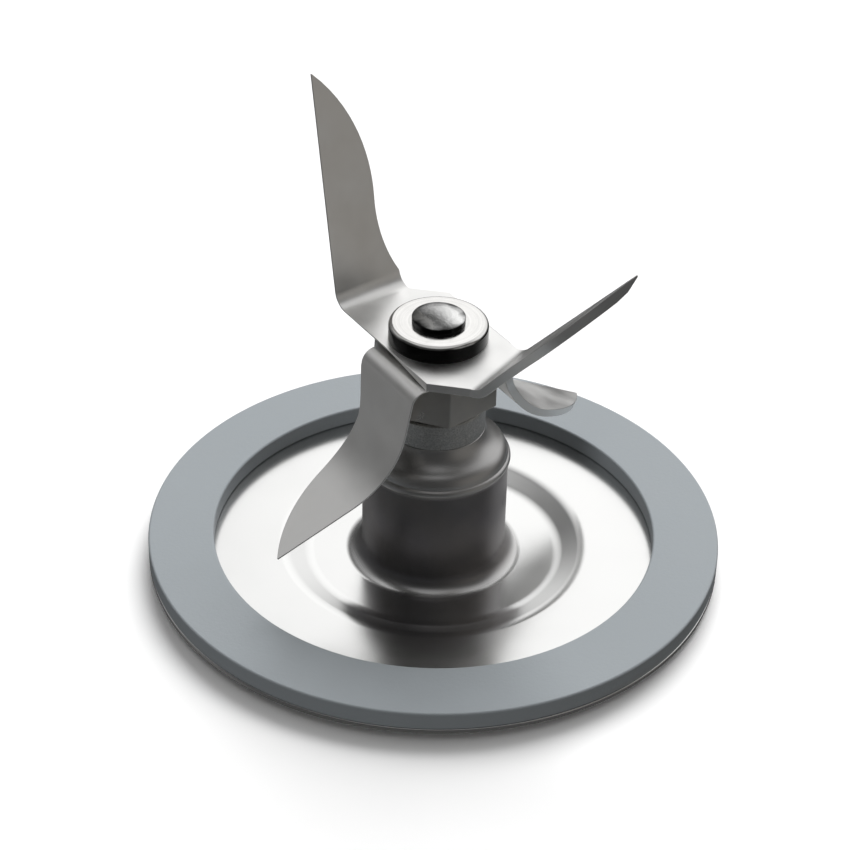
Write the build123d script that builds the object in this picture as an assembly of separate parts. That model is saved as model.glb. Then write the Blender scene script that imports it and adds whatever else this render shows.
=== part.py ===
"""Blender blade assembly, in millimetres.

A drawn steel base plate with a bearing tower carries a rubber sealing gasket. A spindle runs in two
bushes in the tower: a square drive socket at its lower end, two crossed blades riveted on its upper end.
The origin is on the spindle's axis at the plane that the base plate stands on, with +Z up.
"""

import os
from math import cos, radians, sin, tan

from build123d import *

# Base plate, drawn from one steel sheet
plate_diameter = 60.4
plate_sheet = 0.5
flange_rise = 0.8  # underside of the flange above the resting plane
rest_ring_diameter = 26.6  # outer edge of the flat ring that the plate stands on
step_run = 2.6  # radial run of the sloped step up to the flange

# Tower, drawn up from the same sheet
tower_diameter = 15.2
tower_height = 16.4
foot_fillet = 1.8
lip_height = 12.65  # middle of the rolled lip below the shoulder
lip_width = 0.8
lip_swell = 0.23
crease_depth = 0.1  # how far the crease above the lip is drawn in
shoulder_diameter = 13.2  # where the shoulder turns from round to hollow
shoulder_rise = 1.45  # from the crease to there

# Sealing gasket
gasket_width = 6.9  # radial
gasket_thickness = 2.0
gasket_edge_round = 0.25

# Spindle and its bearings
journal_diameter = 6.0
running_clearance = 0.05  # radial, journal in bush
fixed_clearance = 0.02  # radial, between pieces that are pressed or slid together
axial_play = 0.15
lower_bush_length = 2.5
felt_thickness = 1.6
felt_diameter = 12.0
felt_clearance = 0.3  # radial, felt round the turning journal
spigot_diameter = 9.2
collar_diameter = 10.14
collar_height = 3.05
collar_edge = 0.2
seal_diameter = 8.2
seal_height = 1.2

# Drive coupling
coupling_diameter = 12.8
coupling_rise = 0.4  # mouth of the socket above the resting plane
coupling_edge = 0.4
socket_across_flats = 8.0
socket_depth = 5.6
web_thickness = 2.0  # roof of the socket
lower_tenon_diameter = 4.8

# Thrust washers
lower_washer_diameter = 11.0
lower_washer_thickness = 0.5
upper_washer_diameter = 9.8
upper_washer_thickness = 0.3
washer_clearance = 0.1  # radial, washer round the journal

# Hex spacer
hex_across_flats = 11.0
hex_height = 5.2
hex_turn = -17.3  # direction of one corner, degrees from +X
hex_edge_angle = 45.0  # turned edge that takes the corners off under the blades

# Tenon and riveted head on top of the spindle
tenon_diameter = 4.0
tenon_across_flats = 3.1
head_diameter = 5.44
head_rim = 0.6
head_dome = 0.35

# Clamp washer
clamp_diameter = 10.12
clamp_thickness = 1.85
clamp_edge_round = 0.45

# Blades: each wing's leading edge is on its left, looking outwards
blade_sheet = 0.9
grind_width = 1.6  # ground slope along each leading edge, on the underside
edge_land = 0.15  # thickness left at the cutting edge
upper_turn = 123.43  # direction of the steep upper wing, degrees from +X
crossing_angle = 90.0  # from the upper blade round to the lower one

# Upper blade: both wings are cut to one outline and bent up along a slanted line
upper_bend_radius = 1.8
steep_reach = 10.7  # where the bend line crosses the blade's middle line
steep_angle = 76.2
steep_slant = 5.0  # turns the trailing end of the bend line outwards
steep_tip_lead = 6.8
shallow_reach = 9.34
shallow_angle = 49.3
shallow_slant = 24.0
shallow_tip_lead = 7.45
upper_lead = 5.6  # leading edge's distance from the blade's middle line at the hub
upper_trail = 2.5  # trailing edge's distance at the bend
upper_corner_reach = 6.6  # where the corner beside each bend is taken off
upper_waist_reach = 20.2
upper_waist_lead = 0.23  # at its waist a wing's trailing edge is past the middle line
upper_tip_reach = 34.05  # laid flat

# Lower blade
wing_clearance = 0.75  # from the spacer's flats to the inner corner of the bend
lower_bend_radius = 1.5  # on the outer face
lower_dip_angle = 79.0
lower_drop = 9.7  # from the hub's top to where the wing flares
lower_flare_angle = 26.0
lower_flare_radius = 10.0
lower_tip_reach = 21.4
lower_lead = 6.6
lower_trail = 2.95
lower_corner_run = 2.4
lower_tip_lead = 4.5
lower_waist_trail = 1.6
lower_waist_reach = 10.4
lower_taper_from = 1.7  # below the hub's top, where the wing starts to narrow to its waist
lower_taper_to = 6.3

# Radii that pieces share
plate_radius = plate_diameter / 2
tower_radius = tower_diameter / 2
bore_radius = tower_radius - plate_sheet
journal_radius = journal_diameter / 2
bush_bore_radius = journal_radius + running_clearance
spigot_radius = spigot_diameter / 2
collar_radius = collar_diameter / 2
tower_hole_radius = spigot_radius + fixed_clearance
coupling_radius = coupling_diameter / 2
lower_tenon_radius = lower_tenon_diameter / 2
hex_flat_radius = hex_across_flats / 2
hex_corner_radius = hex_flat_radius / cos(radians(30))
lower_bend_reach = hex_flat_radius + wing_clearance + blade_sheet * tan(radians(lower_dip_angle / 2))

# Levels, from the resting plane up
flange_top = flange_rise + plate_sheet
foot_level = plate_sheet + foot_fillet
shoulder_level = lip_height + lip_width / 2
socket_roof = coupling_rise + socket_depth
coupling_top = socket_roof + web_thickness
lower_washer_top = coupling_top + lower_washer_thickness
lower_bush_bottom = lower_washer_top + axial_play
lower_bush_top = lower_bush_bottom + lower_bush_length
felt_top = lower_bush_top + felt_thickness
collar_top = tower_height + collar_height
hex_bottom = collar_top + axial_play + upper_washer_thickness
hex_top = hex_bottom + hex_height
lower_blade_top = hex_top + blade_sheet
upper_blade_top = lower_blade_top + blade_sheet
clamp_top = upper_blade_top + clamp_thickness
head_top = clamp_top + head_rim + head_dome

# Room round the model for cutting shapes
cut_room = plate_diameter


def ring(outer_radius, inner_radius, bottom, top):
    """A plain ring on the spindle's axis."""
    section = make_face(
        Plane.XZ
        * Polyline(
            (inner_radius, bottom), (outer_radius, bottom), (outer_radius, top), (inner_radius, top), close=True
        )
    )
    return revolve(section, Axis.Z)


def double_d(diameter, across_flats, bottom, top):
    """A round tenon with two flats, or the hole for one."""
    section = Circle(diameter / 2) & Rectangle(diameter, across_flats)
    return Pos(0, 0, bottom) * extrude(section, top - bottom)


def tenon_hole(bottom, top):
    """The hole that slides over the spindle's upper tenon."""
    room = 2 * fixed_clearance
    return double_d(tenon_diameter + room, tenon_across_flats + room, bottom, top)


def base_plate():
    """Disc, sloped step and tower as one drawn sheet, with a hole in the tower's top for the bush."""
    rest_radius = rest_ring_diameter / 2
    flange_inner = rest_radius + step_run
    foot_radius = tower_radius + foot_fillet
    foot_centre = (foot_radius, foot_level)
    lip_bottom = lip_height - lip_width / 2
    crease = (tower_radius - crease_depth, shoulder_level)
    shoulder_turn = (shoulder_diameter / 2, shoulder_level + shoulder_rise)
    hole_rim = (tower_hole_radius, tower_height - plate_sheet)
    with BuildPart() as plate:
        with BuildSketch(Plane.XZ):
            with BuildLine():
                Polyline(
                    (foot_radius, 0),
                    (rest_radius, 0),
                    (flange_inner, flange_rise),
                    (plate_radius, flange_rise),
                    (plate_radius, flange_top),
                    (flange_inner, flange_top),
                    (rest_radius, plate_sheet),
                    (foot_radius, plate_sheet),
                )
                CenterArc(foot_centre, foot_fillet, 180, 90)
                Line((tower_radius, foot_level), (tower_radius, lip_bottom))
                ThreePointArc((tower_radius, lip_bottom), (tower_radius + lip_swell, lip_height), crease)
                round_part = TangentArc(crease, shoulder_turn, tangent=(0, 1))
                TangentArc(shoulder_turn, (collar_radius, tower_height), tangent=round_part % 1)
                Polyline((collar_radius, tower_height), (tower_hole_radius, tower_height), hole_rim)
                outwards = (round_part % 1).rotate(Axis.Z, -90)
                inner_turn = round_part @ 1 - outwards * plate_sheet
                inner_round = TangentArc((bore_radius, shoulder_level), inner_turn, tangent=(0, 1))
                TangentArc(inner_turn, hole_rim, tangent=inner_round % 1)
                Line((bore_radius, shoulder_level), (bore_radius, foot_level))
                CenterArc(foot_centre, foot_fillet + plate_sheet, 180, 90)
            make_face()
        revolve(axis=Axis.Z)
    return plate.part


def sealing_gasket():
    """Flat rubber ring on the flange, its edges a little rounded."""
    gasket = ring(plate_radius, plate_radius - gasket_width, flange_top, flange_top + gasket_thickness)
    return fillet(gasket.edges(), gasket_edge_round)


def upper_bush():
    """Bush with a collar on the tower's top, a spigot down into the tower and a recess for the seal."""
    bush = ring(collar_radius, bush_bore_radius, tower_height, collar_top)
    rim = bush.edges().group_by(Axis.Z)[-1].sort_by(SortBy.RADIUS)[-1]
    bush = chamfer(rim, collar_edge)
    bush += ring(spigot_radius, bush_bore_radius, felt_top, tower_height)
    return bush - ring(seal_diameter / 2, bush_bore_radius, collar_top - seal_height, collar_top)


def shaft_seal():
    """Rubber ring in the collar's recess."""
    return ring(seal_diameter / 2 - fixed_clearance, bush_bore_radius, collar_top - seal_height, collar_top)


def lower_bush():
    """Plain bush pressed into the tower's bore."""
    return ring(bore_radius - fixed_clearance, bush_bore_radius, lower_bush_bottom, lower_bush_top)


def oil_felt():
    """Felt ring between the two bushes."""
    return ring(felt_diameter / 2, journal_radius + felt_clearance, lower_bush_top, felt_top)


def drive_coupling():
    """Round coupling with a square socket from below and a hole for the spindle's lower tenon."""
    body = Pos(0, 0, coupling_rise) * extrude(Circle(coupling_radius), coupling_top - coupling_rise)
    body = chamfer(body.edges().filter_by(GeomType.CIRCLE), coupling_edge)
    square = Rectangle(socket_across_flats, socket_across_flats)
    socket = Pos(0, 0, coupling_rise) * extrude(square, socket_depth)
    hole = Pos(0, 0, socket_roof) * extrude(Circle(lower_tenon_radius + fixed_clearance), web_thickness)
    return body - socket - hole


def thrust_washer(diameter, bottom, thickness):
    """Thin washer that turns with the spindle."""
    return ring(diameter / 2, journal_radius + washer_clearance, bottom, bottom + thickness)


def spindle():
    """Shaft with a tenon at each end, the upper one spread into a domed rivet head."""
    head_radius = head_diameter / 2
    dome_radius = (head_radius**2 + head_dome**2) / (2 * head_dome)
    shaft = Pos(0, 0, socket_roof) * extrude(Circle(lower_tenon_radius), web_thickness)
    shaft += Pos(0, 0, coupling_top) * extrude(Circle(journal_radius), hex_bottom - coupling_top)
    shaft += double_d(tenon_diameter, tenon_across_flats, hex_bottom, clamp_top)
    head = Pos(0, 0, clamp_top) * extrude(Circle(head_radius), head_rim + head_dome)
    head &= Pos(0, 0, head_top - dome_radius) * Sphere(dome_radius)
    return shaft + head


def hex_spacer():
    """Hexagonal spacer, its corners turned off at the top to clear the bends of the lower blade."""
    edge_rise = (hex_corner_radius - hex_flat_radius) * tan(radians(hex_edge_angle))
    hexagon = Rot(0, 0, hex_turn) * RegularPolygon(hex_corner_radius, 6)
    spacer = Pos(0, 0, hex_bottom) * extrude(hexagon, hex_height)
    turned = Plane.XZ * Polyline(
        (0, hex_bottom),
        (hex_corner_radius, hex_bottom),
        (hex_corner_radius, hex_top - edge_rise),
        (hex_flat_radius, hex_top),
        (0, hex_top),
        close=True,
    )
    spacer &= revolve(make_face(turned), Axis.Z)
    return spacer - tenon_hole(hex_bottom, hex_top)


def clamp_washer():
    """Thick washer under the rivet head, its upper edge rounded."""
    washer = Pos(0, 0, upper_blade_top) * extrude(Circle(clamp_diameter / 2), clamp_thickness)
    washer = fillet(washer.edges().group_by(Axis.Z)[-1], clamp_edge_round)
    return washer - tenon_hole(upper_blade_top, clamp_top)


def grind_wedge(underside):
    """What the grinder takes off along a wing's leading edge, from a flat face on its underside."""
    lead_edge = underside.edges().sort_by(Axis.Y)[-1]
    upwards = -underside.normal_at()
    along = (lead_edge @ 1 - lead_edge @ 0).normalized()
    inwards = along.cross(upwards)
    if inwards.Y > 0:
        inwards = -inwards
    depth = blade_sheet - edge_land
    section = Plane(lead_edge @ 0, x_dir=inwards, z_dir=inwards.cross(upwards)) * Polyline(
        (grind_width, 0),
        (0, depth),
        (-cut_room, depth),
        (-cut_room, -depth),
        (grind_width, -depth),
        close=True,
    )
    return extrude(make_face(section), cut_room, both=True)


def upper_wing(bend_reach, angle, slant, tip_lead):
    """One wing of the upper blade with its bend and half of the hub, outwards along +X."""
    setback = upper_bend_radius * tan(radians(angle / 2))
    bend_length = upper_bend_radius * radians(angle)
    out, across = cos(radians(slant)), sin(radians(slant))
    lead_end = (upper_lead + setback * across) / out
    trail_end = (setback * across - upper_trail) / out

    def flat_place(run, along):
        """Place on the blade before it is bent, from the start of the bend and along its line."""
        return bend_reach + (run - setback) * out - along * across, (run - setback) * across + along * out

    hub = Polyline(
        (0, upper_lead),
        flat_place(0, lead_end),
        flat_place(0, trail_end),
        (upper_corner_reach, -upper_lead),
        (0, -upper_lead),
        close=True,
    )
    half = Pos(0, 0, -blade_sheet) * extrude(make_face(hub), blade_sheet)

    bend_line = Pos(bend_reach, 0, 0) * Rot(0, 0, slant)
    bend_axis = Axis((0, 0, upper_bend_radius), (0, -1, 0))
    middle = Pos((lead_end + trail_end) / 2, -blade_sheet / 2)
    section = Plane.YZ * middle * Rectangle(lead_end - trail_end, blade_sheet)
    bend = bend_line * Pos(-setback, 0, 0) * revolve(section, bend_axis, angle)

    lead_root = flat_place(bend_length, lead_end)
    trail_root = flat_place(bend_length, trail_end)
    waist = (upper_waist_reach, upper_waist_lead)
    tip = (upper_tip_reach, tip_lead)
    outline = [
        Line(lead_root, trail_root),
        TangentArc(waist, trail_root, tangent=(-1, 0)),
        TangentArc(waist, tip, tangent=(1, 0)),
        Line(tip, lead_root),
    ]
    wing = Pos(0, 0, -blade_sheet) * extrude(make_face(outline), blade_sheet)
    wing -= grind_wedge(wing.faces().sort_by(Axis.Z)[0])
    bend_end = Pos(-setback, 0, upper_bend_radius) * Rot(0, -angle, 0)
    raised = bend_line * bend_end * Pos(setback - bend_length, 0, -upper_bend_radius)
    wing = raised * Rot(0, 0, -slant) * Pos(-bend_reach, 0, 0) * wing
    return Pos(0, 0, upper_blade_top) * (half + bend + wing)


def upper_blade():
    """Blade with both wings bent up, one steeper than the other."""
    steep = upper_wing(steep_reach, steep_angle, steep_slant, steep_tip_lead)
    shallow = upper_wing(shallow_reach, shallow_angle, shallow_slant, shallow_tip_lead)
    blade = Rot(0, 0, upper_turn) * (steep + Rot(0, 0, 180) * shallow)
    return blade - tenon_hole(lower_blade_top, upper_blade_top)


def lower_wing():
    """One lower wing with half of the hub, outwards along +X: down beside the spacer, then flared."""
    dip = radians(lower_dip_angle)
    flare_level = lower_blade_top - lower_drop
    flare_reach = lower_bend_reach + lower_drop / tan(dip)
    tip_level = flare_level - (lower_tip_reach - flare_reach) * tan(radians(lower_flare_angle))
    top_line = FilletPolyline(
        (0, lower_blade_top),
        (lower_bend_reach, lower_blade_top),
        (flare_reach, flare_level),
        (lower_tip_reach, tip_level),
        radius=[lower_bend_radius, lower_flare_radius],
    )
    section = make_face(Plane.XZ * offset(top_line, amount=blade_sheet, side=Side.RIGHT, closed=True))
    strip = extrude(section, cut_room, both=True)
    lead_line = Polyline(
        (0, lower_lead),
        (lower_bend_reach, lower_lead),
        (lower_tip_reach, lower_tip_lead),
        (cut_room, lower_tip_lead),
        (cut_room, cut_room),
        (0, cut_room),
        close=True,
    )
    tip_cut = [
        TangentArc((lower_waist_reach, -lower_waist_trail), (lower_tip_reach, lower_tip_lead), tangent=(1, 0)),
        Polyline(
            (lower_tip_reach, lower_tip_lead),
            (cut_room, lower_tip_lead),
            (cut_room, -lower_waist_trail),
            (lower_waist_reach, -lower_waist_trail),
        ),
    ]
    bend_start = lower_bend_reach - lower_bend_radius * tan(dip / 2)
    hub_trail = Polyline(
        (0, -lower_lead),
        (bend_start - lower_corner_run, -lower_lead),
        (bend_start, -lower_trail),
        (cut_room, -lower_trail),
        (cut_room, -cut_room),
        (0, -cut_room),
        close=True,
    )
    taper = Plane.YZ * Polyline(
        (-cut_room, lower_blade_top - lower_taper_from),
        (-lower_trail, lower_blade_top - lower_taper_from),
        (-lower_waist_trail, lower_blade_top - lower_taper_to),
        (-lower_waist_trail, -cut_room),
        (-cut_room, -cut_room),
        close=True,
    )
    wing = strip
    for outline in (lead_line, tip_cut, hub_trail, taper):
        wing -= extrude(make_face(outline), cut_room, both=True)
    flare = Plane.XY.rotated((0, lower_flare_angle, 0))
    return wing - grind_wedge(wing.faces().filter_by(flare).sort_by(Axis.Z)[0])


def lower_blade():
    """Blade with both wings bent down and flared outwards."""
    wing = lower_wing()
    blade = wing + Rot(0, 0, 180) * wing
    return Rot(0, 0, upper_turn + crossing_angle) * blade - tenon_hole(hex_top, lower_blade_top)


pieces = {
    "base_plate": base_plate(),
    "sealing_gasket": sealing_gasket(),
    "upper_bush": upper_bush(),
    "shaft_seal": shaft_seal(),
    "lower_bush": lower_bush(),
    "oil_felt": oil_felt(),
    "drive_coupling": drive_coupling(),
    "lower_thrust_washer": thrust_washer(lower_washer_diameter, coupling_top, lower_washer_thickness),
    "upper_thrust_washer": thrust_washer(
        upper_washer_diameter, hex_bottom - upper_washer_thickness, upper_washer_thickness
    ),
    "spindle": spindle(),
    "hex_spacer": hex_spacer(),
    "lower_blade": lower_blade(),
    "upper_blade": upper_blade(),
    "clamp_washer": clamp_washer(),
}

os.makedirs("parts", exist_ok=True)
for name, piece in pieces.items():
    export_step(piece, f"parts/{name}.step")
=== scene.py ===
"""Looks of a blender blade assembly, laid out as an add-on and run as a script.

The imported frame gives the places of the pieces. The operators below rebuild the visible ones with
softer, more detailed meshes, give every piece its material, and set up a plain studio.
"""

from math import asin, atan, atan2, cos, hypot, pi, radians, sin, sqrt, tan

import bmesh
import bpy
from bpy.props import FloatProperty, FloatVectorProperty, PointerProperty
from mathutils import Matrix, Vector


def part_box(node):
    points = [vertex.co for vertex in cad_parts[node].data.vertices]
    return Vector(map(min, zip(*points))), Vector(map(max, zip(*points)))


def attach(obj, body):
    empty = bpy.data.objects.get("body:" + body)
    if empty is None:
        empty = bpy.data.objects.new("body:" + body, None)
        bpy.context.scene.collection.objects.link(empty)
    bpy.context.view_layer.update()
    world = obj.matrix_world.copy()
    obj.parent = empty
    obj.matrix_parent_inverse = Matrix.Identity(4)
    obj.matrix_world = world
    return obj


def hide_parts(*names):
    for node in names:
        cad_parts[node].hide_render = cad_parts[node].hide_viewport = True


bl_info = {
    "name": "Blender blade assembly",
    "version": (1, 0, 0),
    "blender": (4, 5, 0),
    "location": "3D View > Sidebar > Blade assembly",
    "description": "Builds the visible pieces of a blender blade assembly on its frame",
    "category": "Object",
}

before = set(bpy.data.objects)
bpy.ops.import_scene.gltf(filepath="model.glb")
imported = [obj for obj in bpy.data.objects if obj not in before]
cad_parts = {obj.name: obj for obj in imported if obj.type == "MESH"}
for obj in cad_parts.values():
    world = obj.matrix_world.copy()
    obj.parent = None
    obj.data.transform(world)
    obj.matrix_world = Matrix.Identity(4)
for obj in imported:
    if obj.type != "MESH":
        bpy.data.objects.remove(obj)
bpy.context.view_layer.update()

MM = 0.001
TURN_STEPS = 160  # faces round a turned piece
ARC_STEPS = 10  # edges along an arc of a profile
BEND_STEPS = 10  # rows along a bend of a blade
CURVE_ROWS = 14  # rows along a curved edge of a wing
MERGE_DISTANCE = 0.0005 * MM  # points closer than this become one
CRISP_ANGLE = radians(18)  # faces that meet at more than this keep a crisp edge
SOFTEN_ANGLE = radians(40)  # edges sharper than this are broken by a small bevel
CORNER_STEPS = 8  # edges round a corner of a profile
BEVEL = {"offset_type": "OFFSET", "profile": 0.5, "affect": "VERTICES", "material": -1}


def linear(hex_colour):
    """Turns an sRGB hex value into linear red, green and blue."""
    shares = [int(hex_colour[at : at + 2], 16) / 255 for at in (1, 3, 5)]
    return tuple(
        part / 12.92 if part <= 0.04045 else ((part + 0.055) / 1.055) ** 2.4 for part in shares
    )


def size(name, millimetres, words):
    """A length that a user may change."""
    return FloatProperty(
        name=name, description=words, default=millimetres * MM, unit="LENGTH", precision=5
    )


def turn(name, angle, words):
    """An angle that a user may change, given in degrees."""
    return FloatProperty(name=name, description=words, default=radians(angle), subtype="ANGLE")


def share(name, value, words):
    """A share from 0 to 1 that a user may change."""
    return FloatProperty(name=name, description=words, default=value, min=0.0, max=1.0, subtype="FACTOR")


def colour(name, hex_colour, words):
    """A colour that a user may change."""
    rgb = linear(hex_colour)
    return FloatVectorProperty(
        name=name, description=words, default=rgb, size=3, min=0.0, max=1.0, subtype="COLOR"
    )


class PlateLook(bpy.types.PropertyGroup):
    """Sizes and colour of the drawn base plate."""

    sheet: size("Sheet", 0.5, "Thickness of the drawn sheet")
    rest_radius: size("Rest ring", 13.3, "Outer radius of the flat ring that the plate stands on")
    step_run: size("Step run", 2.6, "Radial run of the sloped step up to the flange")
    step_round: size("Step round", 4.0, "Radius of the soft bends above and below the step")
    tower_radius: size("Tower radius", 7.6, "Outer radius of the tower")
    foot_fillet: size("Foot fillet", 1.8, "Radius at the foot of the tower")
    lip_height: size("Lip height", 12.65, "Level of the rolled lip below the shoulder")
    lip_width: size("Lip width", 0.8, "Height of the rolled lip")
    lip_swell: size("Lip swell", 0.23, "How far the lip stands out")
    crease: size("Crease", 0.1, "How far the crease above the lip is drawn in")
    shoulder_radius: size("Shoulder radius", 6.6, "Where the shoulder turns from round to hollow")
    shoulder_rise: size("Shoulder rise", 1.45, "Height from the crease to there")
    hole_radius: size("Hole", 4.62, "Radius of the hole in the tower's top")
    edge: size("Edge", 0.1, "Broken edge of the sheet")
    steel: colour("Steel", "#D8D8D7", "Colour of the bright disc")
    roughness: share("Roughness", 0.22, "Blur of the bright disc")
    # The two tower colours below are painted shade for the upright wall, drawn darker than the disc; the
    # straw colour also adds a random warm tint
    shaded_tower: colour("Drawn steel", "#707077", "Colour of the drawn tower")
    straw_in_shade: colour("Straw tint", "#797572", "Colour of the tower's warmer patches")
    drawn_roughness: share("Drawn roughness", 0.4, "Blur of the drawn tower")


class GasketLook(bpy.types.PropertyGroup):
    """Sizes and colour of the sealing gasket."""

    width: size("Width", 6.9, "Radial width of the ring")
    edge_round: size("Edge round", 0.25, "Radius of the moulded edges")
    rubber: colour("Rubber", "#989EA2", "Colour of the rubber")
    roughness: share("Roughness", 0.55, "Mattness of the rubber")


class BearingLook(bpy.types.PropertyGroup):
    """Sizes and colours of the bearing pieces in and on the tower."""

    spigot_radius: size("Spigot", 4.6, "Radius of the bush inside the tower")
    recess_radius: size("Recess", 4.1, "Radius of the recess for the shaft seal")
    recess_depth: size("Recess depth", 1.2, "Depth of the recess for the shaft seal")
    bore_radius: size("Bore", 3.05, "Radius of the bush's bore")
    collar_edge: size("Collar edge", 0.2, "Turned edge on the collar's top")
    edge: size("Edge", 0.06, "Broken edges of the upper bush")
    iron: colour("Sintered iron", "#B0AFAD", "Colour of the upper bush")
    bronze: colour("Sintered bronze", "#A8763F", "Colour of the lower bush")
    seal: colour("Seal rubber", "#232323", "Colour of the shaft seal")
    felt: colour("Felt", "#CDC6B7", "Colour of the oil felt")
    plastic: colour("Washer plastic", "#3B3B3B", "Colour of the thrust washers")
    coupling: colour("Coupling steel", "#A6A4A1", "Colour of the drive coupling")


class SpindleLook(bpy.types.PropertyGroup):
    """Sizes and colours of the spindle, the hex spacer and the clamp washer."""

    journal_radius: size("Journal", 3.0, "Radius of the spindle in its bushes")
    tenon_radius: size("Upper tenon", 1.96, "Radius of the spindle inside the blades")
    lower_tenon_radius: size("Lower tenon", 2.4, "Radius of the spindle inside the coupling")
    web: size("Coupling web", 2.0, "Length of the lower tenon")
    head_radius: size("Head radius", 2.72, "Radius of the riveted head")
    head_rim: size("Head rim", 0.6, "Height of the head's straight rim")
    head_dome: size("Head dome", 0.35, "Height of the head's dome")
    head_edge: size("Head edge", 0.08, "Broken edges of the spindle")
    head_askew: turn("Head askew", 14.0, "Lean of the head's worn top")
    # The next two settings place the wandering edge of the painted black shade on the head's rim and
    # dome, not of a scale or a worn line
    head_shade_share: share("Head scale", 0.2, "Share of the dome that keeps its black scale")
    head_shade_wander: size("Head wear", 0.5, "How far the worn line on the head wanders")
    flat_radius: size("Hex flat", 5.5, "Distance of the spacer's flats from the axis")
    hex_turn: turn("Hex turn", -17.3, "Direction of one corner of the spacer")
    hex_edge: size("Hex edge", 0.12, "Broken edges of the spacer")
    washer_round: size("Washer round", 0.45, "Radius of the washer's upper edge")
    washer_edge: size("Washer edge", 0.06, "Broken edges of the washer")
    # Where the painted black shade ends on the washer's side
    washer_shade_wander: size("Washer wear", 0.2, "How far the worn line on the washer wanders")
    head_steel: colour("Head steel", "#CFCFCE", "Colour of the spindle")
    spacer_steel: colour("Spacer steel", "#A3A09C", "Colour of the hex spacer")
    washer_steel: colour("Washer steel", "#CFCECC", "Colour of the clamp washer")
    # Not a scale on the steel: painted shade for the sides of the head and the washer, which face the
    # dark room
    painted_shade_black: colour("Blackened steel", "#222222", "Colour of the black scale on turned pieces")


class UpperBladeLook(bpy.types.PropertyGroup):
    """Sizes of the upper blade, whose wings bend up along slanted lines."""

    direction: turn("Direction", 123.43, "Direction of the steep wing")
    bend_radius: size("Bend radius", 1.8, "Inner radius of the bends")
    steep_reach: size("Steep reach", 10.7, "Where the steep bend line crosses the middle line")
    steep_angle: turn("Steep angle", 76.2, "Rise of the steep wing")
    steep_slant: turn("Steep slant", 5.0, "Turn of the steep wing's bend line")
    steep_tip: size("Steep tip", 6.8, "Distance of the steep wing's tip from the middle line")
    shallow_reach: size("Shallow reach", 9.34, "Where the shallow bend line crosses the middle line")
    shallow_angle: turn("Shallow angle", 49.3, "Rise of the shallow wing")
    shallow_slant: turn("Shallow slant", 24.0, "Turn of the shallow wing's bend line")
    shallow_tip: size("Shallow tip", 7.45, "Distance of the shallow wing's tip from the middle line")
    lead: size("Lead", 5.6, "Leading edge's distance from the middle line at the hub")
    trail: size("Trail", 2.5, "Trailing edge's distance at the bends")
    corner_reach: size("Corner reach", 6.6, "Where the corner beside each bend is taken off")
    waist_reach: size("Waist reach", 20.2, "Where a wing is narrowest")
    waist_lead: size("Waist lead", 0.23, "How far the trailing edge passes the middle line at the waist")
    tip_reach: size("Tip reach", 34.05, "Distance of the tips from the axis before the wings were bent")


class LowerBladeLook(bpy.types.PropertyGroup):
    """Sizes of the lower blade, whose wings bend down and flare."""

    direction: turn("Direction", 213.43, "Direction of the front wing")
    bend_reach: size("Bend reach", 6.992, "Distance of the bend lines from the axis")
    bend_radius: size("Bend radius", 1.5, "Outer radius of the bends")
    dip_angle: turn("Dip angle", 79.0, "Slope of the wings beside the spacer")
    drop: size("Drop", 9.7, "Height from the hub's top to where the wings flare")
    flare_angle: turn("Flare angle", 26.0, "Slope of the flared wings")
    flare_radius: size("Flare radius", 10.0, "Radius of the flare")
    tip_reach: size("Tip reach", 21.4, "Distance of the tips from the axis")
    lead: size("Lead", 6.6, "Leading edge's distance from the middle line")
    trail: size("Trail", 2.95, "Trailing edge's distance at the bend")
    corner_run: size("Corner run", 2.4, "Corner taken off beside each bend")
    tip_lead: size("Tip lead", 4.5, "Tip's distance from the middle line")
    waist_trail: size("Waist trail", 1.6, "Trailing edge's distance at the waist")
    waist_reach: size("Waist reach", 10.4, "Where the waist ends")
    taper_from: size("Taper from", 1.7, "Depth below the hub's top where a wing starts to narrow")
    taper_to: size("Taper to", 6.3, "Depth below the hub's top where the waist is reached")


class BladeSteelLook(bpy.types.PropertyGroup):
    """What both blades share."""

    sheet: size("Sheet", 0.9, "Thickness of the blade sheet")
    grind: size("Grind", 1.6, "Width of the ground slope under each leading edge")
    land: size("Edge land", 0.15, "Thickness left at the cutting edge")
    tip: size("Tip", 0.12, "Width of the blunted tip")
    edge: size("Edge", 0.05, "Broken edge of the blanked sheet")
    steel: colour("Steel", "#EDECEA", "Colour of the satin sheet")
    roughness: share("Roughness", 0.38, "Blur of the satin sheet")


class StageLook(bpy.types.PropertyGroup):
    """Colours and light of the studio."""

    floor: colour("Floor", "#FFFFFF", "Colour of the floor")
    key_turn: turn("Key turn", 14.0, "Direction of the soft light, from the back to the right")
    key_rise: turn("Key rise", 46.0, "Height of the soft light")
    key_spread: turn("Key spread", 40.0, "Apparent width of the soft light")
    key_level: share("Key level", 0.65, "Light of the soft light on a level surface")
    fill_turn: turn("Fill turn", -150.0, "Direction of the weak light, from the back to the right")
    fill_rise: turn("Fill rise", 7.0, "Height of the weak light")
    fill_spread: turn("Fill spread", 12.0, "Apparent width of the weak light")
    fill_level: share("Fill level", 0.17, "Light of the weak light on a surface that faces it")


LOOKS = {
    "cutter_plate": PlateLook,
    "cutter_gasket": GasketLook,
    "cutter_bearing": BearingLook,
    "cutter_spindle": SpindleLook,
    "cutter_upper": UpperBladeLook,
    "cutter_lower": LowerBladeLook,
    "cutter_steel": BladeSteelLook,
    "cutter_stage": StageLook,
}


# Materials

# Sockets of a Mix node that mixes colours
MIX_FACTOR, MIX_FIRST, MIX_SECOND, MIX_RESULT = 0, 6, 7, 2
# Most of a noise lies between these two levels
NOISE_LOW, NOISE_HIGH = 0.3, 0.7
METAL = {"Metallic": 1.0}


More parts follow.
